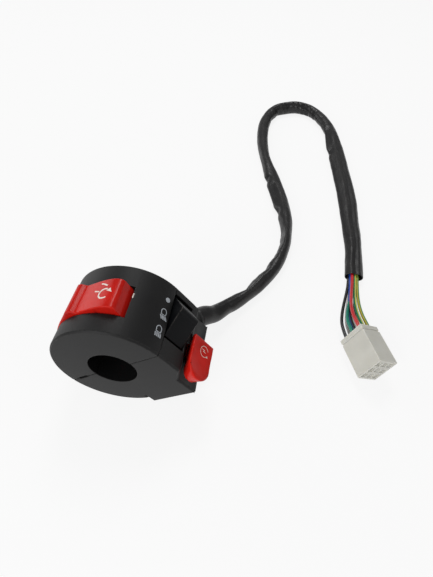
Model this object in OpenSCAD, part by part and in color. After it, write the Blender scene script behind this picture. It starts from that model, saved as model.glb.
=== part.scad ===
// Handlebar switch cluster with kill rocker, light rocker, start button and wiring harness
// Millimetres. The bar runs along Y through the origin and the cluster lies on a table.
// Body pieces are drawn with the seam level and then rolled until they rest on the table.

/* [Body] */
// handlebar diameter that the bore clamps
bar_d = 22.2; // [21.8:0.1:22.6]
// outer radius of the round body
body_r = 28; // [27.5:0.1:29]
// length along the bar
body_len = 37; // [37:0.5:40]
// wall of the outer shell
shell_wall = 2.2; // [2:0.1:2.4]
// wall of the sleeve around the bar
sleeve_wall = 2.4; // [2:0.1:2.6]
// gap between the two halves when clamped
seam_gap = 0.25; // [0.1:0.05:0.4]
// bevel round the end faces
rim = 0.8; // [0.4:0.1:1.2]

/* [Lower half] */
// height of the flat side under the seam
flat_h = 13.3; // [13:0.1:13.6]
// how far the button side is set in from the flat side
recess_in = 5.4; // [5.2:0.1:5.6]
// depth under the seam where the button side starts
recess_top = 18.9; // [18.7:0.1:19.2]
// how far the foot hangs under the round body
foot_below = 3.4; // [3:0.1:4]
// reach of the foot to the left of the bar axis
foot_left = 3.4; // [3:0.1:4]
// rounding of the foot's corner under the button
foot_round = 1.4; // [1:0.1:2]

/* [Clamp screws] */
// screw shank diameter
screw_d = 3.9; // [3.5:0.1:4]
// screw head diameter
head_d = 7; // [6.6:0.1:7.2]
// left screw, distance from the bar axis
screw_left = 19.6; // [19.4:0.1:19.8]
// right screw, distance from the bar axis
screw_right = 17; // [16.8:0.1:17.2]

/* [Kill rocker] */
// width along the bar
kill_w = 15.5; // [15:0.1:15.8]
// its middle along the bar, from the body's middle
kill_y = -1.05; // [-1.3:0.05:-0.8]
// half length across the body
kill_reach = 20.4; // [20:0.1:20.6]
// height of the raised wing over the round body
kill_crest = 3.1; // [2.6:0.1:3.6]
// gap round the rocker
kill_gap = 0.4; // [0.35:0.05:0.5]
// turn from run to off
kill_turn = 9; // [6:0.5:10]

/* [Light rocker] */
// half length along the bar
light_half = 10.6; // [10.2:0.1:10.8]
// peak height over its pivot
light_peak = 13.5; // [12.5:0.1:14.5]
// its pivot, before the back face
light_inset = 15.65; // [15.4:0.05:15.9]
// thickness across
light_h = 11.6; // [11.2:0.1:11.8]
// turn from off to high
light_turn = 20; // [16:1:22]

/* [Start button] */
// length of its pressing face along the bar
start_len = 19.8; // [19.6:0.1:21]
// height of its pressing face
start_h = 13.6; // [12.8:0.1:14]
// how far the face stands out from the flat side
start_out = 3.6; // [3.2:0.1:4]
// push travel
start_travel = 1.5; // [1.2:0.1:1.6]

/* [Harness] */
// sleeve diameter
sheath_d = 8; // [7.4:0.1:8.2]
// wire diameter
wire_d = 1.7; // [1.4:0.05:1.8]
// slope of the cable outlet, backward and down
outlet_dip = 40; // [38:1:41]
// swing of the cable outlet away from the bar
outlet_swing = 17.5; // [16:0.5:19]

/* [Connector] */
// length
conn_len = 21.7; // [21:0.1:24]
// width across three cavities
conn_w = 12; // [11.6:0.1:13]
// height across three cavities
conn_h = 15.4; // [15:0.1:17]
// side of a square cavity
cavity_side = 3; // [2.8:0.05:3.1]

/* [Hidden] */
$fn = 64;

// body
bar_r = bar_d / 2;
sleeve_r = bar_r + sleeve_wall;
inner_r = body_r - shell_wall;
half_len = body_len / 2;
room_y = half_len - shell_wall;
seam = seam_gap / 2;
reach = 2 * body_r;

// lower half outline
recess_x = body_r - recess_in;
foot_drop = body_r + foot_below;
diag_angle = atan2(recess_in, recess_top - flat_h);
rest_roll = atan2(foot_left, foot_drop) + acos(body_r / norm([foot_left, foot_drop]));
table_z = -body_r;
floor_z = -foot_drop + shell_wall;
recess_wall_x = recess_x - shell_wall;
cheek_drop = 3;

// clamp screws
screw_r = screw_d / 2;
screw_hole_r = screw_r + 0.05;
screw_free_r = screw_r + 0.25;
head_r = head_d / 2;
head_room_r = head_r + 0.35;
head_h = 3;
seat_z = -14;
screw_top = 7.6;
right_y = -half_len + 5.7;
boss_left_r = head_room_r + 1.6;
boss_right_r = head_room_r + 1.05;

// kill rocker
ring_room = inner_r - sleeve_r;
ring_mid = (inner_r + sleeve_r) / 2;
kill_pivot_z = sleeve_r + 0.309 * ring_room;
kill_pin_r = 1.25;
kill_y0 = kill_y - kill_w / 2;
kill_y1 = kill_y + kill_w / 2;
kill_win_y0 = kill_y0 - kill_gap;
kill_win_y1 = kill_y1 + kill_gap;
kill_win_x = kill_reach + kill_gap + 5.8 * sin(kill_turn);
hub_clear = 0.6;
kill_hub_r = kill_pivot_z - sleeve_r - hub_clear;
kill_under_r = inner_r - 1.8;
kill_wall = 2.2;
kill_web = 4;
kill_rib = 6.5;
cheek_t = 2;
board_t = 1.5;
kill_back_y = kill_win_y1 + board_t;
kill_ball_off = [0.65 * ring_room, 0.26 * ring_room];
kill_ball_at = [kill_ball_off[0], kill_pivot_z + kill_ball_off[1]];
ball_r = 0.8;
ball_out = 0.2;
kill_contact_r = 0.5;
kill_swing = [kill_ball_off[0] * cos(kill_turn) + kill_ball_off[1] * sin(kill_turn),
    kill_pivot_z + kill_ball_off[1] * cos(kill_turn) - kill_ball_off[0] * sin(kill_turn)];

// light rocker
light_x = body_r - 7.5;
light_y = half_len - light_inset;
light_top = -0.5;
light_bottom = light_top - light_h;
light_r = norm([6.9, light_half]);
light_pin_r = 1.4;
light_gap = 0.4;
light_wall_u = inner_r - light_x;
light_win = sqrt(pow(light_r, 2) - pow(light_wall_u, 2)) + light_gap;
shelf_top = light_bottom - 0.5;
shelf_t = 3;
shelf_bottom = shelf_top - shelf_t;
light_boss = 1.4;
light_ball_r = 6.2;
light_ball_angle = 125;
light_contact_r = 0.42;

// start button
start_top_x = body_r + start_out;
start_base_x = recess_x + start_travel + 0.4;
start_y0 = -half_len;
start_mid_z = -foot_drop + 10;
start_top_z = [start_mid_z - start_h / 2, start_mid_z + start_h / 2];
start_base_z = [-foot_drop + 3.6, -foot_drop + 12.7];
plunger_y = [start_y0 + 12.5, start_y0 + 19.5];

plunger_end = recess_wall_x - 2.7;
plunger_free = 0.35;
clip_x1 = recess_wall_x - 0.35;
clip_t = 0.8;
bridge_t = 0.6;
bridge_x = plunger_end - bridge_t;
start_axis = [start_y0 + 16, (floor_z + shelf_bottom) / 2 - 0.1];
plunger_z = [start_axis[1] - 2.7, start_axis[1] + 2.7];
start_board_x = recess_x - 14.9;
start_board_y = start_axis[0] - 6.5;
start_board_w = 13;
start_board_h = 10.8;
start_post_x = bridge_x - start_travel - 0.3;
start_post_y = [start_axis[0] - 3.8, start_axis[0] + 3.8];
start_post_r = 0.85;
start_spring_r = 2.2;
start_spring_wire = 0.3;

// cable outlet
sheath_r = sheath_d / 2;
outlet_at = [recess_x - 7.4, half_len, -foot_drop + 8];
outlet_dir = [cos(outlet_dip) * sin(outlet_swing), cos(outlet_dip) * cos(outlet_swing), -sin(outlet_dip)];
boot_r = sheath_r + 0.75;
boot_collar_r = sheath_r + 1.35;
boot_len = 12;
lead_r = 0.5;
lead_bend = 8.5;

// connector on the table
conn_yaw = -70.3;
conn_roll = -30;
conn_z = table_z + conn_h / 2 * cos(conn_roll) - conn_w / 2 * sin(conn_roll);
conn_mid = [116.2, 16.7, conn_z];
conn_rear = conn_mid - conn_len / 2 * [cos(conn_yaw), sin(conn_yaw), 0];
cavity_pitch = [conn_w / 3 - 0.2, conn_h / 3 - 0.3];
terminal_r = 1.25;
crimp_len = 6;
groove = 0.35;
groove_x = 2.4;
groove_w = 0.8;
terminal_x0 = 4;
terminal_x1 = conn_len - 1.6;
wire_r = wire_d / 2;
wire_pitch = wire_d + 0.2;
mouth_yaw = -93.8;

// harness route on the table, from the boot to the mouth of the sleeve
lie_z = table_z + sheath_r;
mouth = [115, 73, lie_z];
route_tail = [[37, 32, lie_z + 4.4], [42.5, 39, lie_z + 2.2], [48.5, 45.5, lie_z + 0.6], [54.5, 53, lie_z],
    [60, 60.5, lie_z], [67.5, 74, lie_z], [72, 87, lie_z], [74, 103.5, lie_z], [72.5, 124.5, lie_z],
    [67.5, 147.5, lie_z], [61.5, 171, lie_z], [53.5, 200.5, lie_z], [49, 233, lie_z], [50, 262, lie_z],
    [56.5, 281, lie_z], [67.5, 289.5, lie_z], [81, 291, lie_z], [95.5, 279, lie_z], [106.5, 253, lie_z],
    [110.5, 222.5, lie_z], [113.5, 186.5, lie_z], [116, 152, lie_z], [116.5, 122, lie_z],
    [116.5, 95.5, lie_z], mouth];

// turn a point of the level body to where it rests
function rolled(p) = [p[0] * cos(rest_roll) - p[2] * sin(rest_roll), p[1],
    p[0] * sin(rest_roll) + p[2] * cos(rest_roll)];
function unit(v) = v / norm(v);
function tangent(p, i) = unit(p[min(i + 1, len(p) - 1)] - p[max(i - 1, 0)]);
function carry(n, t) = unit(n - (n * t) * t);
function normals(p, first) = [for (i = 0, n = carry(first, tangent(p, 0)); i < len(p);
    i = i + 1, n = carry(n, tangent(p, min(i, len(p) - 1)))) n];
function ring(c, n, t, r, sides) = [for (k = [0 : sides - 1])
    c + r * (cos(360 * k / sides) * n + sin(360 * k / sides) * cross(t, n))];
function bezier(a, b, c, d, t) = pow(1 - t, 3) * a + 3 * pow(1 - t, 2) * t * b
    + 3 * (1 - t) * t * t * c + pow(t, 3) * d;
// points of a smooth curve through a list of points, n to each step
function spline(p, n) = [for (i = [0 : len(p) - 2]) for (k = [0 : n - 1]) let (t = k / n,
    a = p[max(i - 1, 0)], b = p[i], c = p[i + 1], d = p[min(i + 2, len(p) - 1)])
    0.5 * (2 * b + (c - a) * t + (2 * a - 5 * b + 4 * c - d) * t * t + (3 * b - a - 3 * c + d) * t * t * t)];
function helix(r, turns, height, per_turn) = [for (i = [0 : turns * per_turn])
    [r * cos(360 * i / per_turn), r * sin(360 * i / per_turn), height * i / (turns * per_turn)]];
function least_gap(p, r, skip) = min([for (i = [0 : len(p) - 1 - skip]) for (j = [i + skip : len(p) - 1])
    norm(p[i] - p[j])]) - 2 * r;
// place of a cavity or a wire in a three by three grid seen along the harness
function grid_at(centre, yaw, col, row, pitch) = let (
    c = col * pitch[0], b = row * pitch[1],
    side = c * cos(conn_roll) - b * sin(conn_roll), up = c * sin(conn_roll) + b * cos(conn_roll))
    centre + [-side * sin(yaw), side * cos(yaw), up];

// a point on the end of the sleeve inside the body
outlet_side = unit(cross(outlet_dir, [0, 0, 1]));
outlet_up = cross(outlet_side, outlet_dir);
function sleeve_end(a, b) = outlet_at - 4.4 * outlet_dir + a * outlet_side + b * outlet_up;

sheath_route = concat([rolled(outlet_at - 4.4 * outlet_dir), rolled(outlet_at + 4 * outlet_dir),
    rolled(outlet_at + boot_len * outlet_dir)], route_tail);

// a tube of round section along a list of points
module tube(p, r, sides, first = [0, 0, 1]) {
    n = normals(p, first);
    last = len(p) - 1;
    rings = [for (i = [0 : last]) ring(p[i], n[i], tangent(p, i), r, sides)];
    points = [for (a = rings) for (b = a) b];
    sides_a = [for (i = [0 : last - 1]) for (k = [0 : sides - 1])
        [i * sides + k, (i + 1) * sides + k, (i + 1) * sides + (k + 1) % sides]];
    sides_b = [for (i = [0 : last - 1]) for (k = [0 : sides - 1])
        [i * sides + k, (i + 1) * sides + (k + 1) % sides, i * sides + (k + 1) % sides]];
    start_cap = [for (k = [1 : sides - 2]) [0, k, k + 1]];
    end_cap = [for (k = [1 : sides - 2]) [last * sides, last * sides + k + 1, last * sides + k]];
    polyhedron(points, concat(sides_a, sides_b, start_cap, end_cap));
}

// a lead inside the body, from a place on the end of the sleeve
module lead(at, rest, r) {
    p = sleeve_end(at[0], at[1]);
    tube(concat([p, p - 1.5 * outlet_dir], rest), r, 8);
}

// roll a level piece to where it rests
module resting() {
    rotate([0, -rest_roll, 0])
        children();
}

// extrude an outline in x and z along the bar
module along_bar(y0, y1) {
    translate([0, y1, 0])
        rotate([90, 0, 0])
            linear_extrude(y1 - y0)
                children();
}

// extrude an outline in y and z across the body
module along_x(x0, x1) {
    translate([x0, 0, 0])
        rotate([90, 0, 90])
            linear_extrude(x1 - x0)
                children();
}

// round body with bevelled ends
module round_body() {
    rotate([-90, 0, 0])
        rotate_extrude()
            polygon([[0, -half_len], [body_r - rim, -half_len], [body_r, -half_len + rim],
                [body_r, half_len - rim], [body_r - rim, half_len], [0, half_len]]);
}

// side and foot of the lower half, set in by d
module side_outline(d) {
    k = d * tan(diag_angle / 2);
    f = foot_round;
    polygon([[0, 0], [body_r - d, 0], [body_r - d, -flat_h + k], [recess_x - d, -recess_top + k],
        [recess_x - d, -foot_drop + d + f], [recess_x - d - f, -foot_drop + d],
        [-foot_left + d, -foot_drop + d], [-foot_left + d, 0]]);
    translate([recess_x - d - f, -foot_drop + d + f])
        circle(f);
}

// whole outline of the lower half, set in by d
module lower_outline(d) {
    circle(body_r - d);
    side_outline(d);
}

// bar that bevels a straight edge between two points
module edge_bar(p, q) {
    s = rim * sqrt(2);
    translate(p)
        rotate([0, -atan2(q[2] - p[2], q[0] - p[0]), 0])
            rotate([45, 0, 0])
                translate([-rim, -s / 2, -s / 2])
                    cube([norm(q - p) + 2 * rim, s, s]);
}

module edge_bars() {
    p = [[body_r, 0], [body_r, -flat_h], [recess_x, -recess_top], [recess_x, -foot_drop + foot_round],
        [recess_x - foot_round, -foot_drop], [-foot_left, -foot_drop], [-foot_left, -inner_r]];
    for (y = [-half_len, half_len])
        for (i = [0, 1, 2, 4, 5])
            edge_bar([p[i][0], y, p[i][1]], [p[i + 1][0], y, p[i + 1][1]]);
}

// space between the sleeve and the shell, between the end walls
module chamber() {
    along_bar(-room_y, room_y)
        difference() {
            lower_outline(shell_wall);
            circle(sleeve_r);
        }
}

module below(z) {
    translate([-reach, -reach, z - 2 * reach])
        cube(2 * reach);
}

module above(z) {
    translate([-reach, -reach, z])
        cube(2 * reach);
}

// upright post at a place on the seam
module post(x, y, r, z0, z1) {
    translate([x, y, z0])
        cylinder(r = r, h = z1 - z0);
}

// small slot in the seam of the front face for prising the halves apart
module pry_slot() {
    translate([-inner_r + 2.8, -half_len - 1, -0.6])
        cube([6, 2.2, 1.2]);
}

module kill_window() {
    translate([-kill_win_x, kill_win_y0, kill_pivot_z - 12])
        cube([2 * kill_win_x, kill_win_y1 - kill_win_y0, 2 * body_r]);
}

module light_window() {
    translate([inner_r - 1, light_y - light_win, shelf_top])
        cube([10, 2 * light_win, -shelf_top + seam_gap]);
}

module pin_along_bar(r, y0, y1) {
    translate([0, 0, kill_pivot_z])
        along_bar(y0, y1)
            circle(r);
}

module upper_shell() {
    difference() {
        round_body();
        below(seam);
        along_bar(-room_y, room_y)
            difference() {
                circle(inner_r);
                circle(sleeve_r);
            }
        kill_window();
    }
}

module upper_ribs() {
    intersection() {
        union() {
            for (y = [kill_win_y0 - cheek_t, kill_back_y])
                translate([-5, y, sleeve_r - 2])
                    cube([10, cheek_t, inner_r]);
            post(-screw_left, 0, 4, seam, 8.5);
            translate([-body_r, -1.5, seam])
                cube([body_r - sleeve_r + 1, 3, 6]);
            post(screw_right, right_y, 3.6, seam, 8.5);
            translate([screw_right - 3, -half_len + 1, seam])
                cube([6, 4.6, 8.4]);
            translate([light_x - 3.2, light_y - 2.6, seam])
                cube([body_r - light_x + 3, 5.2, 4.4]);
        }
        along_bar(-half_len + 1, half_len - 1)
            difference() {
                circle(inner_r + 0.6);
                circle(sleeve_r - 0.6);
            }
    }
}

module upper_housing() {
    color("#1d1d1f")
        resting()
            difference() {
                union() {
                    upper_shell();
                    upper_ribs();
                }
                along_bar(-half_len - 1, half_len + 1)
                    circle(bar_r);
                pin_along_bar(kill_pin_r + 0.02, kill_win_y0 - cheek_t - 1, kill_back_y + cheek_t + 1);
                post(-screw_left, 0, screw_hole_r, -1, screw_top + 0.4);
                post(screw_right, right_y, screw_hole_r, -1, screw_top + 0.4);
                post(light_x, light_y, light_pin_r + 0.02, -1, 3.8);
                pry_slot();
            }
}

// the flat side reaches further down behind the start button
module back_cheek() {
    along_bar(start_y0 + start_len + 1.2, half_len - rim)
        polygon([[inner_r, -flat_h + 1], [body_r, -flat_h + 1], [body_r, -flat_h - cheek_drop],
            [recess_x, -recess_top - cheek_drop], [recess_x - 1, -recess_top]]);
}

module lower_shell() {
    difference() {
        union() {
            round_body();
            along_bar(-half_len, half_len)
                side_outline(0);
            back_cheek();
        }
        above(-seam);
        edge_bars();
        chamber();
    }
}

module lower_ribs() {
    intersection() {
        union() {
            translate([3, -half_len, shelf_bottom])
                cube([body_r, body_len, shelf_t]);
            post(-screw_left, 0, boss_left_r, -body_r, -seam);
            post(screw_right, right_y, boss_right_r, -foot_drop, seat_z + 2.4);
            post(screw_right, right_y, 3.6, seat_z, -seam);
            translate([screw_right - 3, -half_len + 1, seat_z])
                cube([6, 4.6, -seat_z - seam]);
            post(light_x, light_y, 3, shelf_bottom - light_boss, shelf_bottom + 1);
            translate([start_board_x - 1.5, start_board_y, -foot_drop + 1])
                cube([1.5, start_board_w, start_axis[1] - 1.5 + foot_drop - 1]);
        }
        along_bar(-half_len + 1, half_len - 1)
            difference() {
                lower_outline(0.6);
                circle(sleeve_r - 0.6);
            }
    }
}

module lower_housing() {
    color("#1a1a1c")
        resting()
            difference() {
                union() {
                    lower_shell();
                    lower_ribs();
                }
                along_bar(-half_len - 1, half_len + 1)
                    circle(bar_r);
                light_window();
                for (p = [[-screw_left, 0], [screw_right, right_y]]) {
                    post(p[0], p[1], screw_free_r, seat_z - 1, 1);
                    post(p[0], p[1], head_room_r, -foot_drop - 1, seat_z);
                }
                post(light_x, light_y, light_pin_r + 0.02, shelf_bottom - light_boss + 0.8, 0);
                light_board_space();
                translate([recess_wall_x - 2, plunger_y[0] - plunger_free, plunger_z[0] - plunger_free])
                    cube([6, plunger_y[1] - plunger_y[0] + 2 * plunger_free,
                        plunger_z[1] - plunger_z[0] + 2 * plunger_free]);
                along_outlet()
                    translate([0, 0, -6.8])
                        cylinder(r = boot_r + 0.05, h = reach);
                pry_slot();
            }
}

// two equal screws driven from below
module clamp_screws() {
    color("#b9bcc0")
        resting()
            for (p = [[-screw_left, 0], [screw_right, right_y]])
                difference() {
                    union() {
                        post(p[0], p[1], screw_r, seat_z - 0.5, screw_top);
                        post(p[0], p[1], head_r, seat_z - head_h, seat_z);
                    }
                    translate([p[0] - 0.5, p[1] - 2.4, seat_z - head_h - 1])
                        cube([1, 4.8, 2.4]);
                    translate([p[0] - 2.4, p[1] - 0.5, seat_z - head_h - 1])
                        cube([4.8, 1, 2.4]);
                }
}

// outline of the rocker in x and z, left wing pressed
module kill_outline() {
    b = body_r;
    r = kill_reach;
    c = kill_crest;
    polygon(concat([[r - 0.1, b - 15], [r, b - 9]],
        spline([[r + 1, b - 5.4], [r + 0.9, b - 4.4], [r + 0.4, b - 3.4], [r - 0.7, b - 2.5]], 3),
        spline([[r - 0.7, b - 2.5], [18, b - 1.6], [15.2, b - 0.8], [10.7, b - 0.1], [6.5, b + 0.3],
            [4, b + 0.5], [3.1, b + 0.9], [2.3, b + 1.7], [1.4, b + c - 0.5], [0.2, b + c], [-1.2, b + c - 0.3],
            [-5, b + 1], [-10, b - 1.2], [-14.8, b - 3.7], [-18.2, b - 6], [-r + 0.3, b - 8]], 3),
        [[-r, b - 8.8], [-r + 0.1, b - 15]]));
}

module kill_pockets() {
    intersection() {
        difference() {
            translate([0, -kill_wall])
                kill_outline();
            circle(kill_under_r - 2);
        }
        union() {
            translate([kill_ball_at[0] + kill_web, 0])
                square([kill_reach - kill_wall - kill_ball_at[0] - kill_web, reach]);
            translate([-kill_reach + kill_wall, 0])
                square([kill_reach - kill_wall - kill_rib, reach]);
        }
    }
}

module kill_rocker() {
    color("#c8281e")
        resting()
            difference() {
                along_bar(kill_y0, kill_y1)
                    union() {
                        difference() {
                            kill_outline();
                            circle(kill_under_r);
                        }
                        translate([0, kill_pivot_z])
                            circle(kill_hub_r);
                        translate([-kill_hub_r, kill_pivot_z])
                            square([2 * kill_hub_r, kill_under_r - kill_pivot_z + 1]);
                        translate([0, kill_pivot_z])
                            square([kill_ball_at[0] + 2.4, kill_under_r - kill_pivot_z]);
                    }
                along_bar(kill_y0 + 1.8, kill_y1 - 1.8)
                    kill_pockets();
                pin_along_bar(kill_pin_r + 0.05, kill_y0 - 1, kill_y1 + 1);
                translate([kill_ball_at[0], 0, kill_ball_at[1]])
                    along_bar(kill_y1 - 5.2, kill_y1 + 1)
                        circle(ball_r + 0.3);
            }
}

module kill_pivot_pin() {
    color("#b9bcc0")
        resting()
            pin_along_bar(kill_pin_r, kill_win_y0 - cheek_t + 0.2, kill_back_y + cheek_t - 0.2);
}

module kill_contact_board() {
    color("#7a4a26")
        resting()
            difference() {
                translate([-kill_ball_at[0], kill_win_y1, kill_pivot_z - 0.8 * kill_hub_r])
                    cube([2 * kill_ball_at[0] + 0.21 * ring_room, board_t,
                        kill_ball_off[1] + 0.8 * kill_hub_r + 0.12 * ring_room]);
                pin_along_bar(kill_pin_r + 0.1, 0, half_len);
                for (p = [kill_ball_at, kill_swing])
                    translate([p[0], 0, p[1]])
                        along_bar(0, half_len)
                            circle(kill_contact_r + 0.01);
            }
}

module kill_contacts() {
    color("#c8a24a")
        resting()
            for (p = [kill_ball_at, kill_swing])
                translate([p[0], 0, p[1]])
                    along_bar(kill_win_y1, kill_back_y + 1.5)
                        circle(kill_contact_r);
}

module kill_contact_ball() {
    color("#c9ccd0")
        resting()
            translate([kill_ball_at[0], kill_y1 + ball_out - ball_r, kill_ball_at[1]])
                sphere(ball_r);
}

module small_spring() {
    p = helix(0.6, 3, 2.7, 8);
    echo(small_spring_least_gap = least_gap(p, 0.16, 5));
    tube(p, 0.16, 6, [1, 0, 0]);
}

module kill_contact_spring() {
    color("#a9adb2")
        resting()
            translate([kill_ball_at[0], kill_y1 + ball_out - 2 * ball_r - 0.22, kill_ball_at[1]])
                rotate([90, 0, 0])
                    small_spring();
}

module kill_leads() {
    color("#d8d4c8")
        resting() {
            for (i = [0, 1]) {
                e = i == 0 ? kill_ball_at : kill_swing;
                y = room_y - 2.2 - 1.4 * i;
                lead([-2.4, 0.4 - 1.4 * i], concat([outlet_at + [-lead_bend, -4.3 - i, 3.4 - 1.4 * i]],
                    [for (a = [250, 220, 180, 140, 107, 88]) [ring_mid * cos(a), y, ring_mid * sin(a)]],
                    [[e[0] - 1.6, kill_back_y + 4 - i, e[1]], [e[0], kill_back_y + 2.6, e[1]],
                        [e[0], kill_back_y + 1.5, e[1]]]), lead_r);
            }
        }
}

// outline of the light rocker about its pivot, seen along the pin
module light_outline() {
    circle(4);
    polygon(concat([[-2.5, -3.1], [6.9, -light_half]],
        spline([[light_peak - 1.2, 0], [light_peak - 0.3, 1], [light_peak, 2.2], [light_peak - 0.4, 3.4],
            [light_peak - 1.3, 4.3]], 3), [[6.9, light_half], [0, 0]]));
    intersection() {
        circle(light_r);
        polygon([[0, 0], 2 * light_r * [cos(56.9), sin(56.9)], 2 * light_r * [cos(100), sin(100)]]);
    }
    intersection() {
        circle(8);
        polygon([[0, 0], 2 * light_r * [cos(98), sin(98)], 2 * light_r * [cos(142), sin(142)]]);
    }
}

module light_rocker() {
    color("#161617")
        resting()
            translate([light_x, light_y, light_bottom])
                difference() {
                    linear_extrude(light_h)
                        light_outline();
                    translate([0, 0, -1])
                        cylinder(r = light_pin_r + 0.05, h = light_h + 2);
                    rotate(light_ball_angle)
                        translate([light_ball_r, 0, -1])
                            cylinder(r = ball_r + 0.3, h = 6.2);
                }
}

module light_pivot_pin() {
    color("#b9bcc0")
        resting()
            post(light_x, light_y, light_pin_r, shelf_bottom - light_boss + 1, 3.6);
}

module light_board_space() {
    translate([light_x - 5.2, light_y + 3.6, shelf_top - board_t])
        cube([5.2, 4.2, board_t + 1]);
    for (a = [0, 0.5, 1])
        light_post(a, light_contact_r + 0.2, shelf_bottom - 1, shelf_top);
}

// upright rod at one of the three places where the ball stops
module light_post(a, r, z0, z1) {
    translate([light_x, light_y, z0])
        rotate(light_ball_angle - a * light_turn)
            translate([light_ball_r, 0, 0])
                cylinder(r = r, h = z1 - z0);
}

module light_contact_board() {
    color("#7a4a26")
        resting()
            difference() {
                translate([light_x - 5.15, light_y + 3.65, shelf_top - board_t])
                    cube([5.1, 4.1, board_t]);
                for (a = [0, 0.5, 1])
                    light_post(a, light_contact_r + 0.01, shelf_bottom - 1, 0);
            }
}

module light_contacts() {
    color("#c8a24a")
        resting()
            for (a = [0, 0.5, 1])
                light_post(a, light_contact_r, shelf_bottom - 1.2, shelf_top);
}

module light_contact_ball() {
    color("#c9ccd0")
        resting()
            translate([light_x, light_y, light_bottom + ball_r - ball_out])
                rotate(light_ball_angle)
                    translate([light_ball_r, 0, 0])
                        sphere(ball_r);
}

module light_contact_spring() {
    color("#a9adb2")
        resting()
            translate([light_x, light_y, light_bottom + 2 * ball_r - ball_out + 0.22])
                rotate(light_ball_angle)
                    translate([light_ball_r, 0, 0])
                        small_spring();
}

module light_leads() {
    color("#c7b23a")
        resting()
            for (i = [0 : 2]) {
                a = light_ball_angle - i * light_turn / 2;
                e = [light_x + light_ball_r * cos(a), light_y + light_ball_r * sin(a)];
                lead([1.2, 2.2 - 1.2 * i], [[e[0], e[1] + 1.2, shelf_bottom - 2.7 - 1.1 * i],
                    [e[0], e[1], shelf_bottom - 2 - 1.1 * i],
                    [e[0], e[1], shelf_bottom - 1.2]], light_contact_r);
            }
}

// plate with one round end, between two heights across the body
module d_plate(x0, x1, y, z) {
    h = z[1] - z[0];
    along_x(x0, x1) {
        translate([y[0] + h / 2, (z[0] + z[1]) / 2])
            circle(h / 2);
        translate([y[0] + h / 2, z[0]])
            square([y[1] - y[0] - h / 2, h]);
    }
}

module start_button() {
    dish_r = 60;
    color("#c8281e")
        resting()
            difference() {
                union() {
                    hull() {
                        d_plate(start_top_x - 1.2, start_top_x, [start_y0, start_y0 + start_len], start_top_z);
                        d_plate(start_base_x, start_base_x + 0.4, [start_y0 + 1.4, start_y0 + start_len - 0.2],
                            start_base_z);
                    }
                    translate([plunger_end, plunger_y[0], plunger_z[0]])
                        cube([start_base_x - plunger_end + 0.3, plunger_y[1] - plunger_y[0],
                            plunger_z[1] - plunger_z[0]]);
                    along_x(plunger_end - 2.8, plunger_end + 0.5)
                        translate(start_axis)
                            circle(1.4);
                }
                translate([start_top_x - 0.55 + dish_r, start_y0 + start_len / 2, start_mid_z])
                    sphere(dish_r);
                for (y = [plunger_y[0] - 1, plunger_y[1] - 0.8])
                    translate([clip_x1 - clip_t - 0.05, y, plunger_z[0] - 1])
                        cube([clip_t + 0.1, 1.8, 10]);
            }
}

module start_retaining_clip() {
    color("#a9adb2")
        resting()
            difference() {
                translate([clip_x1 - clip_t, plunger_y[0] - 1.3, plunger_z[0] - 1.2])
                    cube([clip_t, plunger_y[1] - plunger_y[0] + 2.6, plunger_z[1] - plunger_z[0] + 2]);
                translate([clip_x1 - clip_t - 1, plunger_y[0] + 0.75, plunger_z[0] - 2])
                    cube([clip_t + 2, plunger_y[1] - plunger_y[0] - 1.5, plunger_z[1] - plunger_z[0] + 2.05]);
            }
}

module start_contact_bridge() {
    color("#c8a24a")
        resting()
            along_x(bridge_x, plunger_end)
                difference() {
                    translate([start_axis[0] - 4.9, start_axis[1] - 1.9])
                        square([9.8, 3.8]);
                    translate(start_axis)
                        circle(1.45);
                }
}

module start_return_spring() {
    x0 = start_board_x + board_t + start_spring_wire + 0.02;
    x1 = bridge_x - start_spring_wire - 0.02;
    p = helix(start_spring_r, 5, x1 - x0, 8);
    echo(start_spring_least_gap = least_gap(p, start_spring_wire, 5));
    color("#a9adb2")
        resting()
            translate([x0, start_axis[0], start_axis[1]])
                rotate([90, 0, 90])
                    tube(p, start_spring_wire, 6, [1, 0, 0]);
}

module start_contact_board() {
    color("#7a4a26")
        resting()
            along_x(start_board_x, start_board_x + board_t)
                difference() {
                    translate([start_board_y, floor_z])
                        square([start_board_w, start_board_h]);
                    for (y = start_post_y)
                        translate([y, start_axis[1]])
                            circle(start_post_r + 0.01);
                }
}

module start_contacts() {
    color("#c8a24a")
        resting()
            along_x(start_board_x - 1.4, start_post_x)
                for (y = start_post_y)
                    translate([y, start_axis[1]])
                        circle(start_post_r);
}

module start_leads() {
    color("#8a2f2a")
        resting()
            for (i = [0, 1])
                lead([-1.2 + 1.4 * i, -2.2 - 0.4 * i], [
                    outlet_at + [-5.1 + 0.2 * i, -8 - 1.1 * i, -0.2 - 1.6 * i],
                    [start_board_x - 1.8 - i, start_board_y + start_board_w + 3.5 - i,
                        outlet_at[2] - 1.6 - 1.6 * i],
                    [start_board_x - 3.6 - 0.6 * i, start_post_y[1 - i] + 2, start_axis[1] - 1.6],
                    [start_board_x - 3.4, start_post_y[1 - i], start_axis[1]],
                    [start_board_x - 1.4, start_post_y[1 - i], start_axis[1]]], lead_r);
}

// put something along the slanted cable outlet
module along_outlet() {
    translate(outlet_at)
        rotate([0, 90 + outlet_dip, 90 - outlet_swing])
            children();
}

// rubber sleeve in the outlet
module cable_boot() {
    b = sheath_r + 0.02;
    color("#141414")
        resting()
            along_outlet()
                rotate_extrude()
                    polygon([[b, -5.2], [boot_r, -5.2], [boot_r, 4.6], [boot_collar_r, 5],
                        [boot_collar_r, 6.2], [boot_r, 6.6], [boot_r - 0.3, boot_len], [b, boot_len]]);
}

module harness_sheath() {
    color("#18181a")
        tube(sheath_route, sheath_r, 12);
}

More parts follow.
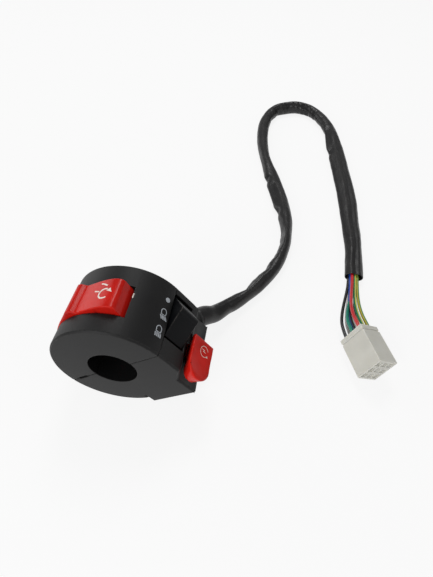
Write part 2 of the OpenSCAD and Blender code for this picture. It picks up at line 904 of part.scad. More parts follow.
// one of the nine wires, counted across and then up
module wire(i) {
    col = i % 3 - 1;
    row = floor(i / 3) - 1;
    a = grid_at(mouth, mouth_yaw, col, row, [wire_pitch, wire_pitch]);
    d = grid_at(conn_rear + terminal_x0 * [cos(conn_yaw), sin(conn_yaw), 0], conn_yaw,
        col, row, cavity_pitch);
    b = a + 17 * [cos(mouth_yaw), sin(mouth_yaw), 0];
    c = d - 19 * [cos(conn_yaw), sin(conn_yaw), 0];
    tail = d - (terminal_x0 + 1) * [cos(conn_yaw), sin(conn_yaw), 0];
    tube(concat([for (t = [0 : 0.2 : 0.81]) bezier(a, b, c - [0, 0, 0.6], tail, t)], [tail, d]), wire_r, 8);
}

module wire_black() {
    color("#161616")
        wire(0);
}

module wire_white() {
    color("#d9d9d6")
        wire(1);
}

module wire_grey() {
    color("#5c5e60")
        wire(4);
}

module wire_blue() {
    color("#2f6fb5")
        wire(2);
}

module wire_teal() {
    color("#2f9a92")
        wire(3);
}

module wire_red() {
    color("#c02a24")
        wire(6);
}

module wire_brown() {
    color("#4a3020")
        wire(5);
}

module wire_green() {
    color("#3f9a4a")
        wire(7);
}

module wire_yellow() {
    color("#c8c23c")
        wire(8);
}

// put something in the frame of the connector, x from rear to front
module at_connector() {
    translate(conn_rear)
        rotate([0, 0, conn_yaw])
            rotate([conn_roll, 0, 0])
                children();
}

module cavity_rods(x0, x1, r) {
    for (col = [-1 : 1])
        for (row = [-1 : 1])
            translate([x0, col * cavity_pitch[0], row * cavity_pitch[1]])
                rotate([0, 90, 0])
                    cylinder(r = r, h = x1 - x0);
}

module connector_housing() {
    color("#e9e2c6")
        at_connector()
            difference() {
                union() {
                    translate([0, -conn_w / 2, -conn_h / 2])
                        cube([conn_len, conn_w, conn_h]);
                    translate([0, 0, 0.4])
                        linear_extrude(4.6)
                            polygon([[3.6, conn_w / 2 - 0.5], [3.6, conn_w / 2 + 0.8], [4.6, conn_w / 2 + 3],
                                [5.8, conn_w / 2 + 3], [9.6, conn_w / 2 + 0.6], [9.6, conn_w / 2 - 0.5]]);
                }
                for (col = [-1 : 1])
                    for (row = [-1 : 1])
                        translate([-1, col * cavity_pitch[0] - cavity_side / 2,
                            row * cavity_pitch[1] - cavity_side / 2])
                            cube([conn_len + 2, cavity_side, cavity_side]);
                for (z = [-conn_h / 2 - 1, conn_h / 2 - groove])
                    translate([groove_x, -conn_w, z])
                        cube([groove_w, 2 * conn_w, 1 + groove]);
                for (y = [-conn_w / 2 - 1, conn_w / 2 - groove])
                    translate([groove_x, y, -conn_h])
                        cube([groove_w, 1 + groove, 2 * conn_h]);
            }
}

module connector_terminals() {
    color("#c8a24a")
        at_connector()
            difference() {
                cavity_rods(terminal_x0, terminal_x1, terminal_r);
                cavity_rods(terminal_x0 + crimp_len, terminal_x1 + 1, 0.85);
            }
}

upper_housing();
lower_housing();
clamp_screws();
kill_rocker();
kill_pivot_pin();
kill_contact_board();
kill_contacts();
kill_contact_ball();
kill_contact_spring();
kill_leads();
light_rocker();
light_pivot_pin();
light_contact_board();
light_contacts();
light_contact_ball();
light_contact_spring();
light_leads();
start_button();
start_retaining_clip();
start_contact_bridge();
start_return_spring();
start_contact_board();
start_contacts();
start_leads();
cable_boot();
harness_sheath();
wire_black();
wire_white();
wire_grey();
wire_blue();
wire_teal();
wire_red();
wire_brown();
wire_green();
wire_yellow();
connector_housing();
connector_terminals();
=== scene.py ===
import math
import bmesh
import bpy
from mathutils import Matrix, Vector, noise
from mathutils.bvhtree import BVHTree


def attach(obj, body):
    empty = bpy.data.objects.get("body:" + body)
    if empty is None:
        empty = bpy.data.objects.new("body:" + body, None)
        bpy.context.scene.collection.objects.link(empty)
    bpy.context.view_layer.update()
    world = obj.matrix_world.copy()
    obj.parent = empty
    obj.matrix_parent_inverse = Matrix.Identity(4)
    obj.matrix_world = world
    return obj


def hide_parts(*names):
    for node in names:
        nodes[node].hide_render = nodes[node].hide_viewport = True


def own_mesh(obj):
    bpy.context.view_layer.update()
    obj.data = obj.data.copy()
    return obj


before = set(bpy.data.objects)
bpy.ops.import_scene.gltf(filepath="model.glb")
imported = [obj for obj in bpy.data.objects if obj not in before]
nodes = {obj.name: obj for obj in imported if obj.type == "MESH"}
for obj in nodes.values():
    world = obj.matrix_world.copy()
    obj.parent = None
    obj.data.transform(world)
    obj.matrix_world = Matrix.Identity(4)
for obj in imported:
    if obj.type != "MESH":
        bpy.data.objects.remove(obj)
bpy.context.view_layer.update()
scene = bpy.context.scene
scene.view_settings.view_transform = "Standard"
mm = 0.001

# the body as drawn, seam level, in millimetres
body = {"barR": 11.1, "roundR": 28.0, "footDrop": 31.4, "footLeft": 3.4,
        "outletAt": (15.2, 18.5, -23.4), "outletDip": 40, "outletSwing": 17.5, "outletInset": 4.4}
restRoll = (math.atan2(body["footLeft"], body["footDrop"])
            + math.acos(body["roundR"] / math.hypot(body["footLeft"], body["footDrop"])))
rollMat = Matrix.Rotation(-restRoll, 3, "Y")
levelMat = rollMat.transposed()
tableZ = -body["roundR"]


# from the level drawing to where the cluster lies
def lying(x, y, z):
    return rollMat @ Vector((x, y, z)) * mm


def level(point):
    return levelMat @ Vector(point) / mm


# camera
lens = {"at": (0.063318, -0.099197, 0.154154), "right": (0.98878, 0.14565, -0.03312),
        "down": (0.08818, -0.74815, -0.65766), "ahead": (-0.12057, 0.64735, -0.75261), "focal": 24.984,
        "sensor": 36, "clip": (0.005, 20)}
cameraData = bpy.data.cameras.new("camera")
cameraData.lens = lens["focal"]
cameraData.sensor_width = lens["sensor"]
cameraData.clip_start, cameraData.clip_end = lens["clip"]
camera = bpy.data.objects.new("camera", cameraData)
scene.collection.objects.link(camera)
axes = Matrix((lens["right"], -Vector(lens["down"]), -Vector(lens["ahead"]))).transposed()
camera.matrix_world = Matrix.Translation(lens["at"]) @ axes.to_4x4()
scene.camera = camera
print("camera set")


# a socket that adds and multiplies like a number
class Value:
    def __init__(self, paint, socket):
        self.paint = paint
        self.socket = socket

    def math(self, operation, a, b=None):
        return self.paint.node("ShaderNodeMath", {"operation": operation}, {0: a, 1: b})

    def __add__(self, other):
        return self.math("ADD", self, other)

    def __sub__(self, other):
        return self.math("SUBTRACT", self, other)

    def __rsub__(self, other):
        return self.math("SUBTRACT", other, self)

    def __mul__(self, other):
        return self.math("MULTIPLY", self, other)

    def __pow__(self, other):
        return self.math("POWER", self, other)

    def smooth(self, low, high):
        return self.paint.node("ShaderNodeMapRange", {"interpolation_type": "SMOOTHSTEP"},
                               {"Value": self, "From Min": low, "From Max": high})


# a new node with its settings, its links and its fixed inputs
def addNode(tree, kind, settings=None, links=None):
    made = tree.nodes.new(kind)
    for key, value in (settings or {}).items():
        setattr(made, key, value)
    for key, value in (links or {}).items():
        value = value.socket if isinstance(value, Value) else value
        if isinstance(value, bpy.types.NodeSocket):
            tree.links.new(value, made.inputs[key])
        elif value is not None:
            made.inputs[key].default_value = value
    return made


# one material and the nodes in it
class Paint:
    def __init__(self, name):
        self.material = bpy.data.materials.new(name)
        self.material.use_nodes = True
        self.tree = self.material.node_tree
        self.tree.nodes.clear()
        self.coords = self.node("ShaderNodeTexCoord", out="Object")

    def node(self, kind, settings=None, links=None, out=0):
        return Value(self, addNode(self.tree, kind, settings, links).outputs[out])

    def noise(self, scale, detail=3.0, rough=0.55, vector=None):
        return self.node("ShaderNodeTexNoise", None, {"Vector": vector or self.coords, "Scale": scale,
                                                      "Detail": detail, "Roughness": rough})

    def mix(self, factor, a, b):
        return self.node("ShaderNodeMix", {"data_type": "RGBA"}, {0: factor, 6: a, 7: b}, out=2)

    def attribute(self, name):
        return self.node("ShaderNodeAttribute", {"attribute_name": name}, out="Fac")

    # the map of a cord: length along it and turn round it
    def unrolled(self):
        return self.node("ShaderNodeUVMap", {"uv_map": "run"})

    def bump(self, height, strength, distance):
        return self.node("ShaderNodeBump", None, {"Height": height, "Strength": strength, "Distance": distance})

    def show(self, shader):
        addNode(self.tree, "ShaderNodeOutputMaterial", None, {"Surface": shader})
        return self.material

    def finish(self, **sockets):
        return self.show(self.node("ShaderNodeBsdfPrincipled", None,
                                   {key.replace("_", " "): value for key, value in sockets.items()}))


def shade(colour, factor):
    return (*[min(1.0, c * factor) for c in colour[:3]], 1.0)


# moulded plastic: fine grain, faint cloudiness, rounded edges lightened for wear and a painted highlight, and a
# smoother bore darkened with painted shade
def mouldedPlastic(name, colour, rough, grain, grainScale, edge, shine, edgeRough=-0.1):
    paint = Paint(name)
    # marked rounded edges, broken up by noise, are lightened towards the edge colour: part wear, part painted
    # highlight
    wearAndHighlight = paint.attribute("wearAndHighlight") * paint.noise(900, 2).smooth(0.32, 0.6)
    cloud = paint.noise(70, 4)
    speck = paint.noise(grainScale, 2, 0.6)
    tone = paint.mix(cloud.smooth(0.3, 0.75), shade(colour, 0.86), shade(colour, 1.16))
    scuff = paint.noise(240, 5, 0.7).smooth(0.6, 0.78) * 0.3
    bore = paint.attribute("bore")
    wornAndLit = paint.mix(wearAndHighlight * 0.7 + scuff * 0.25, tone, edge)
    # the bore takes half the colour: painted shade
    return paint.finish(Base_Color=paint.mix(bore, wornAndLit, shade(colour, 0.5)), Specular_IOR_Level=shine,
                        Roughness=cloud * 0.12 + (rough - 0.06) + wearAndHighlight * edgeRough + scuff * 0.15 - bore * 0.15,
                        Normal=paint.bump(speck, grain, 0.00006))


# a stripe runs along the wire: its middle and half width as shares of the way round
stripes = {"middle": 0.3, "half": 0.07, "soft": 0.75}


def wirePaint(name, colour, stripe=None):
    paint = Paint(name)
    cloud = paint.noise(160, 3)
    tone = paint.mix(cloud, shade(colour, 0.85), shade(colour, 1.15))
    if stripe:
        off = paint.node("ShaderNodeSeparateXYZ", None, {0: paint.unrolled()}, out=1) - stripes["middle"]
        near = (off * off) ** 0.5
        tone = paint.mix(1 - near.smooth(stripes["half"] * stripes["soft"], stripes["half"]), tone, stripe)
    return paint.finish(Base_Color=tone, Roughness=cloud * 0.14 + 0.26, Specular_IOR_Level=0.5,
                        Normal=paint.bump(paint.noise(700, 3), 0.12, 0.0001))


def bareMetal(name, colour, rough):
    paint = Paint(name)
    cloud = paint.noise(260, 4, 0.6)
    return paint.finish(Base_Color=paint.mix(cloud, shade(colour, 0.8), shade(colour, 1.12)), Metallic=1.0,
                        Roughness=cloud * 0.2 + (rough - 0.1), Normal=paint.bump(paint.noise(1800, 2), 0.1, 0.00004))


def vinylSleeve(name):
    paint = Paint(name)
    cloud = paint.noise(90, 4)
    fine = paint.noise(620, 3, 0.6)
    stretch = paint.node("ShaderNodeMapping", None, {"Vector": paint.unrolled(), "Scale": (60, 7, 1)})
    pull = paint.noise(5, 4, 0.6, stretch)
    tone = paint.mix(cloud, (0.006, 0.006, 0.007, 1), (0.016, 0.0155, 0.0155, 1))
    # outward swells of the sleeve are lightened: part wear, part painted highlight
    wornAndLit = paint.attribute("wearAndHighlight")
    tone = paint.mix(wornAndLit * fine.smooth(0.35, 0.65) * 0.55, tone, (0.05, 0.047, 0.045, 1))
    return paint.finish(Base_Color=tone, Roughness=cloud * 0.16 + 0.24 + fine * 0.08, Specular_IOR_Level=0.36,
                        Normal=paint.bump(fine * 0.35 + pull * 0.65, 0.35, 0.00035))


def softRubber(name):
    paint = Paint(name)
    cloud = paint.noise(200, 4)
    return paint.finish(Base_Color=paint.mix(cloud, (0.008, 0.008, 0.008, 1), (0.02, 0.02, 0.02, 1)),
                        Roughness=cloud * 0.2 + 0.5, Normal=paint.bump(paint.noise(1500, 3), 0.25, 0.00008))


def ivoryNylon(name):
    paint = Paint(name)
    cloud = paint.noise(110, 4)
    wearAndHighlight = paint.attribute("wearAndHighlight")
    tone = paint.mix(cloud, (0.56, 0.55, 0.49, 1), (0.69, 0.68, 0.615, 1))
    # rounded edges lightened towards near white: painted highlight, partly wear
    return paint.finish(Base_Color=paint.mix(wearAndHighlight * 0.5, tone, (0.80, 0.795, 0.765, 1)), Roughness=cloud * 0.15 + 0.3,
                        Subsurface_Weight=0.35, Subsurface_Radius=(0.0022, 0.0021, 0.0018), Subsurface_Scale=1.0,
                        Specular_IOR_Level=0.5, Normal=paint.bump(paint.noise(500, 3), 0.12, 0.0001))


def phenolicBoard(name):
    paint = Paint(name)
    fibre = paint.noise(400, 5, 0.7)
    return paint.finish(Base_Color=paint.mix(fibre, (0.10, 0.042, 0.016, 1), (0.20, 0.09, 0.035, 1)),
                        Roughness=fibre * 0.2 + 0.45, Normal=paint.bump(fibre, 0.15, 0.0001))


def markInk(name, colour):
    paint = Paint(name)
    flake = paint.noise(1500, 3, 0.6)
    return paint.finish(Base_Color=paint.mix(flake.smooth(0.25, 0.6), shade(colour, 0.7), colour),
                        Roughness=flake * 0.2 + 0.45)


# the edge colour of each moulded plastic is what its rounded edges lighten to, for wear and a painted highlight
finishes = {
    "housing": mouldedPlastic("housingPlastic", (0.0125, 0.0125, 0.0128), 0.5, 0.4, 2600,
                              (0.036, 0.035, 0.034, 1), 0.21),
    "knob": mouldedPlastic("knobPlastic", (0.0035, 0.004, 0.0048), 0.36, 0.2, 2200, (0.09, 0.081, 0.074, 1), 0.14),
    "red": mouldedPlastic("redPlastic", (0.57, 0.012, 0.007), 0.24, 0.02, 1500, (0.62, 0.02, 0.012, 1), 0.13, 0.0),
    "nylon": ivoryNylon("ivoryNylon"),
    "sleeve": vinylSleeve("vinylSleeve"),
    "rubber": softRubber("bootRubber"),
    "steel": bareMetal("zincSteel", (0.62, 0.63, 0.65), 0.34),
    "pin": bareMetal("bareSteel", (0.66, 0.67, 0.69), 0.24),
    "spring": bareMetal("springSteel", (0.55, 0.56, 0.58), 0.3),
    "brass": bareMetal("contactBrass", (0.78, 0.58, 0.26), 0.28),
    "tin": bareMetal("tinnedBrass", (0.70, 0.67, 0.60), 0.35),
    "board": phenolicBoard("phenolicBoard"),
    "greyInk": markInk("greyInk", (0.47, 0.50, 0.54, 1)),
    "paleInk": markInk("paleInk", (0.88, 0.80, 0.72, 1)),
}
print("materials made")


# one loose shape from several meshes
def merged(meshes):
    shape = bmesh.new()
    for mesh in meshes:
        shape.from_mesh(mesh)
    return shape


def toMesh(name, shape):
    mesh = bpy.data.meshes.new(name)
    shape.to_mesh(mesh)
    shape.free()
    return mesh


def plainMesh(name, verts, faces):
    mesh = bpy.data.meshes.new(name)
    mesh.from_pydata([tuple(v) for v in verts], [], faces)
    return mesh


# a mesh of closed skins with their faces turned outward
def closedMesh(name, verts, faces):
    mesh = plainMesh(name, verts, faces)
    shape = merged([mesh])
    bmesh.ops.recalc_face_normals(shape, faces=shape.faces)
    shape.to_mesh(mesh)
    shape.free()
    return mesh


def rayTree(meshes):
    shape = merged(meshes)
    tree = BVHTree.FromBMesh(shape)
    shape.free()
    return tree


# a new piece whose place is in its mesh
def dress(name, mesh, finish, bodyName, crease):
    mesh.materials.clear()
    mesh.materials.append(finish)
    mesh.shade_smooth()
    mesh.set_sharp_from_angle(angle=math.radians(crease))
    piece = bpy.data.objects.new(name, mesh)
    scene.collection.objects.link(piece)
    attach(piece, bodyName)
    return piece


# a point on the smooth curve through p1 and p2
def curvePoint(p0, p1, p2, p3, t):
    return 0.5 * (2 * p1 + (p2 - p0) * t + (2 * p0 - 5 * p1 + 4 * p2 - p3) * t * t
                  + (3 * p1 - p0 - 3 * p2 + p3) * t ** 3)


# evenly spaced points on the smooth curve through a list
def smoothLine(points, step):
    ends = [points[0] * 2 - points[1], *points, points[-1] * 2 - points[-2]]
    dense, cuts = [], 24
    for i in range(len(points) - 1):
        dense += [curvePoint(*ends[i:i + 4], k / cuts) for k in range(cuts)]
    dense.append(points[-1].copy())
    run = [0.0]
    for a, b in zip(dense, dense[1:]):
        run.append(run[-1] + (b - a).length)
    count = max(2, round(run[-1] / step))
    line, i = [], 0
    for k in range(count + 1):
        want = run[-1] * k / count
        while i < len(run) - 2 and run[i + 1] < want:
            i += 1
        span = run[i + 1] - run[i]
        line.append(dense[i].lerp(dense[i + 1], (want - run[i]) / span if span else 0))
    return line


def lineLength(line):
    return sum((b - a).length for a, b in zip(line, line[1:]))


# directions along, across and up at each point of a line
def lineFrames(line):
    frames = []
    for i in range(len(line)):
        ahead = (line[min(i + 1, len(line) - 1)] - line[max(i - 1, 0)]).normalized()
        across = ahead.cross(Vector((0, 0, 1))).normalized()
        frames.append((ahead, across, across.cross(ahead)))
    return frames


# skin over rings of points, closed at both ends, with a map of length and turn
def skinMesh(name, rings, runs, wearAndHighlight=None):
    sides = len(rings[0])
    shape = bmesh.new()
    layer = shape.loops.layers.uv.new("run")
    wearAndLight = shape.verts.layers.float.new("wearAndHighlight")
    rows = []
    for i, ring in enumerate(rings):
        row = [shape.verts.new(p) for p in ring]
        for k, vert in enumerate(row):
            vert[wearAndLight] = wearAndHighlight[i][k] if wearAndHighlight else 0.0
        rows.append(row)
    for i in range(len(rows) - 1):
        for k in range(sides):
            n = (k + 1) % sides
            face = shape.faces.new((rows[i][k], rows[i + 1][k], rows[i + 1][n], rows[i][n]))
            turn = ((i, k), (i + 1, k), (i + 1, k + 1), (i, k + 1))
            for loop, (a, b) in zip(face.loops, turn):
                loop[layer].uv = (runs[a], b / sides)
    shape.faces.new(rows[0])
    shape.faces.new(list(reversed(rows[-1])))
    bmesh.ops.recalc_face_normals(shape, faces=shape.faces)
    return toMesh(name, shape)


def roundTube(name, line, radius, sides):
    rings, runs, run = [], [], 0.0
    turns = [math.tau * k / sides for k in range(sides)]
    for i, (p, (ahead, across, up)) in enumerate(zip(line, lineFrames(line))):
        run += (p - line[i - 1]).length if i else 0.0
        runs.append(run)
        rings.append([p + (across * math.cos(turn) + up * math.sin(turn)) * radius for turn in turns])
    return skinMesh(name, rings, runs)


# eased steps between the rows of a table
def between(table, x):
    for (xa, ya), (xb, yb) in zip(table, table[1:]):
        if x <= xb:
            t = max(0.0, (x - xa) / (xb - xa))
            return ya + (yb - ya) * t * t * (3 - 2 * t)
    return table[-1][1]


def ease(x, low, high):
    t = min(1.0, max(0.0, (x - low) / (high - low)))
    return t * t * (3 - 2 * t)


def drift(x, y=0.0, z=0.0):
    return noise.noise(Vector((x, y, z)))


# the slanted hole where the harness leaves the body
outletAt = Vector(body["outletAt"])
dip, swing = math.radians(body["outletDip"]), math.radians(body["outletSwing"])
outletDir = Vector((math.cos(dip) * math.sin(swing), math.cos(dip) * math.cos(swing), -math.sin(dip)))

# sleeve of the harness: half sizes by length along it, route on the table with lift, folds, pinches, flat
# panels and a groove
sheath = {"sides": 48, "step": 0.8, "wall": 0.6, "lip": 14.0, "lie": 4.0, "settle": (40, 75), "loose": (18, 34),
          "halfWidth": [(0, 4.0), (9.6, 4.0), (10.8, 5.35), (16, 5.4), (24, 4.8), (33, 4.0), (50, 3.3), (61, 3.9),
                        (77, 4.0), (92, 3.4), (107, 3.5), (128, 4.5), (150, 5.7), (172, 5.6), (204, 4.1),
                        (239, 4.7), (268, 4.9), (300, 4.4), (318, 4.4), (340, 5.1), (363, 5.3), (394, 6.6),
                        (460, 6.5), (494, 5.8), (521, 5.2), (545, 5.4)],
          "halfHeight": [(0, 4.0), (9.6, 4.0), (10.8, 5.2), (16, 5.1), (24, 4.7), (50, 4.5), (92, 4.7), (128, 4.0),
                         (152, 3.1), (176, 3.1), (206, 4.1), (245, 4.2), (270, 4.7), (296, 5.6), (320, 5.4),
                         (340, 4.4), (363, 3.6), (394, 2.7), (480, 2.7), (521, 3.3), (545, 3.5)],
          "tail": [(37, 32, 4.4), (42.5, 39, 2.2), (48.5, 45.5, 0.6), (54.5, 53, 0), (60, 60.5, 0), (67.5, 74, 0),
                   (72, 87, 0), (74, 103.5, 0), (72.5, 124.5, 0), (67.5, 147.5, 0), (61.5, 171, 0), (53.5, 200.5, 0),
                   (49, 233, 0), (50, 261, 0), (56.5, 279, 0), (67.5, 286.5, 0), (81, 288, 0), (95.5, 277.5, 0),
                   (106.5, 253, 0), (110.5, 224, 0), (113.5, 188, 0), (116, 153.5, 0), (116.5, 123, 0),
                   (116.5, 96, 0), (115, 73, 0)],
          "ripples": [(15, 1.3, 0.26), (4.5, 2.6, 0.11)], "folds": [(16.0, 1.9), (5.6, 0.75)], "crest": 0.72,
          "pinches": [((61.5, 169), 160, 1.3, 3.0, 0.7), ((70, 130.5), 165, 1.3, 3.2, 0.6),
                      ((66, 68), 150, 1.2, 3.5, 0.6), ((51.5, 54), 140, 1.1, 4.0, 0.6),
                      ((112.5, 213.5), 20, 1.1, 4.0, 0.6)],
          "panels": [((63.5, 162.5), (69, 134.5), 135, 0.7, 0.55), ((52.5, 56), (63, 65), 130, 0.5, 0.5),
                     ((73, 110), (72, 90), 150, 0.45, 0.5), ((106, 252.5), (113, 215.5), 60, 0.6, 0.5)],
          "groove": ((102.5, 262), 0.62, 0.2)}
lieZ = tableZ + sheath["lie"]
sheathPoints = [lying(*(outletAt + outletDir * run)) / mm for run in (-body["outletInset"], 4, 12)]
sheathPoints += [Vector((x, y, lieZ + lift)) for x, y, lift in sheath["tail"]]
sheathLine = smoothLine(sheathPoints, sheath["step"])
for i, p in enumerate(sheathLine):
    run = i * sheath["step"]
    p.z -= (sheath["lie"] - between(sheath["halfHeight"], run)) * ease(run, *sheath["settle"])


def nearestRun(x, y):
    best = min(range(len(sheathLine)), key=lambda i: (sheathLine[i].x - x) ** 2 + (sheathLine[i].y - y) ** 2)
    return best * sheath["step"]


def angleGap(a, b):
    return (a - b + math.pi) % math.tau - math.pi


def bell(x, wide):
    return math.exp(-(x / wide) ** 2)


# how far the sleeve's skin stands off its plain oval, at a length and an angle
def sheathSwell(run, angle, bend, spots, stretches, grooveFrom):
    c, s = math.cos(angle), math.sin(angle)
    tight = min(1.0, abs(bend) * 27) ** 1.4
    inner = ease(-c * math.copysign(1, bend) + 0.25 * s, -0.15, 0.85)
    swell = sum(deep * drift(run / pitch, c * turns, s * turns) for pitch, turns, deep in sheath["ripples"])
    for k, (pitch, deep) in enumerate(sheath["folds"]):
        phase = run / pitch + 0.45 * drift(run / 21, k * 5.0) + 0.18 * s
        bulge = abs(math.sin(math.pi * phase)) ** 0.8
        swell -= tight * inner * deep * (sheath["crest"] - bulge) * (1.0 if bulge < sheath["crest"] else 0.75)
    swell -= tight * (1 - inner) * 0.35 * max(0.0, c * math.copysign(1, bend))
    for at, turn, deep, long, wide in spots:
        gap = angleGap(angle, turn)
        if abs(run - at) < 4 * long:
            off = run - at + 1.2 * gap
            swell -= deep * bell(off, long) * bell(gap, wide)
            swell += 0.4 * deep * bell(abs(off) - 2 * long, long) * bell(gap, wide)
    for start, stop, turn, deep, wide in stretches:
        inside = ease(run, start - 3, start + 4) * (1 - ease(run, stop - 4, stop + 3))
        if inside:
            gap = angleGap(angle, turn + 0.2 * math.sin(run / 9))
            swell -= inside * deep * (bell(gap, wide) - 0.8 * bell(abs(gap) - 1.5 * wide, 0.25))
    deep, wide = sheath["groove"][1:]
    along = ease(run, grooveFrom, grooveFrom + 60)
    if along:
        gap = angleGap(angle, math.radians(104) + 0.1 * math.sin(run / 31) + 0.14 * drift(run / 26, 8.0))
        swell -= along * deep * bell(gap, wide)
        swell += along * 0.3 * bell(abs(gap) - 0.5, 0.2)
    return swell


def sheathRings():
    spots = [(nearestRun(*at), math.radians(turn), deep, long, wide)
             for at, turn, deep, long, wide in sheath["pinches"]]
    stretches = []
    for a, b, turn, deep, wide in sheath["panels"]:
        ends = sorted((nearestRun(*a), nearestRun(*b)))
        stretches.append((*ends, math.radians(turn), deep, wide))
    grooveFrom = nearestRun(*sheath["groove"][0])
    frames = lineFrames(sheathLine)
    sides, rings, runs, wearAndHighlight = sheath["sides"], [], [], []
    for i, (p, (ahead, across, up)) in enumerate(zip(sheathLine, frames)):
        run = i * sheath["step"]
        back, fore = frames[max(i - 7, 0)][0], frames[min(i + 7, len(frames) - 1)][0]
        bend = back.cross(fore).z / (14 * sheath["step"])
        bend = bend if abs(bend) > 1e-6 else 1e-6
        loose = ease(run, *sheath["loose"])
        ring, wearAndLight = [], []
        for k in range(sides):
            angle = math.tau * k / sides
            swell = loose * sheathSwell(run, angle, bend, spots, stretches, grooveFrom)
            wide = between(sheath["halfWidth"], run) + swell
            high = between(sheath["halfHeight"], run) + swell
            q = p + across * math.cos(angle) * wide + up * math.sin(angle) * high
            q.z = max(q.z, tableZ + 0.03)
            ring.append(q * mm)
            # lighter where the skin swells out: part wear, part painted highlight
            wearAndLight.append(min(1.0, max(0.0, 0.15 + 1.6 * swell)))
        rings.append(ring)
        runs.append(run * mm)
        wearAndHighlight.append(wearAndLight)
    # rim of the open mouth and the dark inside
    ahead, across, up = frames[-1]
    outer, end = rings[-1], sheathLine[-1] * mm
    wall = sheath["wall"] * mm
    for inset, shift in ((0.12, 0.12), (0.5, 0.2), (0.88, 0.12), (1.0, -0.1), (1.0, -0.35 * sheath["lip"]),
                         (1.0, -sheath["lip"])):
        ring = []
        for q in outer:
            off = q - end
            ring.append(end + off * (1 - inset * wall / off.length) + ahead * shift * mm)
        rings.append(ring)
        runs.append(runs[-1] + 0.0002)
        wearAndHighlight.append([0.0] * sides)
    return rings, runs, wearAndHighlight


rings, runs, wearAndHighlight = sheathRings()
sheathMesh = skinMesh("harnessSleeve", rings, runs, wearAndHighlight)
harnessSleeve = dress("harnessSleeve", sheathMesh, finishes["sleeve"], "housing", 70)
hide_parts("harness_sheath")
print("sleeve laid,", round(lineLength(sheathLine)), "mm")

# the plug's size, place and turn on the table
connector = {"length": 21.7, "wide": 12.0, "high": 15.4, "yaw": -70.3, "roll": -30, "mid": (116.2, 16.7),
             "seat": 4.0}
connDir = Vector((math.cos(math.radians(connector["yaw"])), math.sin(math.radians(connector["yaw"])), 0))
connRoll = math.radians(connector["roll"])
connZ = tableZ + connector["high"] / 2 * math.cos(connRoll) - connector["wide"] / 2 * math.sin(connRoll)
connRear = Vector((*connector["mid"], connZ)) - connDir * connector["length"] / 2
connTurn = Matrix.Rotation(math.radians(connector["yaw"]), 3, "Z") @ Matrix.Rotation(connRoll, 3, "X")
cavityPitch = (connector["wide"] / 3 - 0.2, connector["high"] / 3 - 0.3)

# the nine wires: their bundle at the sleeve's mouth, two that trade places there, colours and stripes
wires = {"radius": 0.86, "sides": 14, "step": 0.9, "inside": 11.0, "pitch": 1.9, "mouthYaw": -93.8, "drop": 0.55,
         "squeeze": (0.95, 0.66), "shift": (-0.5, -0.1), "out": 17, "into": 19, "sag": 0.6,
         "stations": (0.16, 0.32, 0.48, 0.64, 0.8),
         "swap": {2: (3, 1.5), 3: (2, -1.0)},
         "colours": [("black", (0.010, 0.010, 0.011), None), ("white", (0.62, 0.62, 0.60), None),
                     ("blue", (0.010, 0.060, 0.34), None), ("teal", (0.004, 0.22, 0.15), None),
                     ("grey", (0.014, 0.014, 0.015), (0.62, 0.62, 0.61, 1)),
                     ("brown", (0.055, 0.018, 0.010), (0.62, 0.20, 0.04, 1)), ("red", (0.56, 0.014, 0.018), None),
                     ("green", (0.006, 0.24, 0.095), (0.66, 0.60, 0.08, 1)),
                     ("yellow", (0.60, 0.48, 0.05), (0.01, 0.24, 0.08, 1))]}
mouth = Vector((*sheath["tail"][-1][:2], lieZ - wires["drop"]))
mouthYaw = math.radians(wires["mouthYaw"])
mouthDir = Vector((math.cos(mouthYaw), math.sin(mouthYaw), 0))


# a place in the three by three grid, seen along the harness
def gridPlace(centre, yaw, i, pitch, squeeze=(1, 1)):
    c, b = (i % 3 - 1) * pitch[0], (i // 3 - 1) * pitch[1]
    side = (c * math.cos(connRoll) - b * math.sin(connRoll)) * squeeze[0]
    up = (c * math.sin(connRoll) + b * math.cos(connRoll)) * squeeze[1]
    return centre + Vector((-side * math.sin(yaw), side * math.cos(yaw), up))


def wireLine(i):
    side, up = wires["shift"]
    middle = mouth + Vector((-mouthDir.y * side, mouthDir.x * side, up))
    start, lift = wires["swap"].get(i, (i, 0.0))
    seat = connRear + connDir * connector["seat"]
    a = gridPlace(middle, mouthYaw, start, (wires["pitch"], wires["pitch"]), wires["squeeze"])
    d = gridPlace(seat, math.radians(connector["yaw"]), i, cavityPitch)
    b = a + mouthDir * wires["out"] + Vector((0, 0, lift))
    c = d - connDir * wires["into"] + Vector((0, 0, lift - wires["sag"]))
    tail = d - connDir * (connector["seat"] + 1)
    points = [a - mouthDir * wires["inside"], a - mouthDir * 5, a]
    for t in wires["stations"]:
        s = 1 - t
        points.append(a * s ** 3 + b * 3 * s * s * t + c * 3 * s * t * t + tail * t ** 3)
    return smoothLine(points + [tail, d], wires["step"])


wirePieces = []
for i, (colour, tone, stripe) in enumerate(wires["colours"]):
    name, line = "lead" + colour.capitalize(), [p * mm for p in wireLine(i)]
    mesh = roundTube(name, line, wires["radius"] * mm, wires["sides"])
    paint = wirePaint(colour + "Wire", tone, stripe)
    piece = dress(name, mesh, paint, "housing", 60)
    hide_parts("wire_" + colour)
    wirePieces.append((piece, line))
print("wires laid,", round(lineLength(wirePieces[4][1]) / mm), "mm each")


# how CAD meshes are cleaned, how far an edge looks for open air, and the bore's skin
cadClean = {"join": 2e-6, "flat": 0.6}
openAir = {"lift": 4e-5, "reach": 0.08}
boreSkin = 0.15
shellTree = rayTree([nodes[nodeName].data for nodeName in ("upper_housing", "lower_housing")])


# a loose copy of a CAD piece with its flat faces whole
def cadShape(nodeName):
    shape = merged([nodes[nodeName].data])
    bmesh.ops.remove_doubles(shape, verts=shape.verts, dist=cadClean["join"])
    bmesh.ops.dissolve_limit(shape, angle_limit=math.radians(cadClean["flat"]), verts=shape.verts,
                             edges=shape.edges)
    return shape


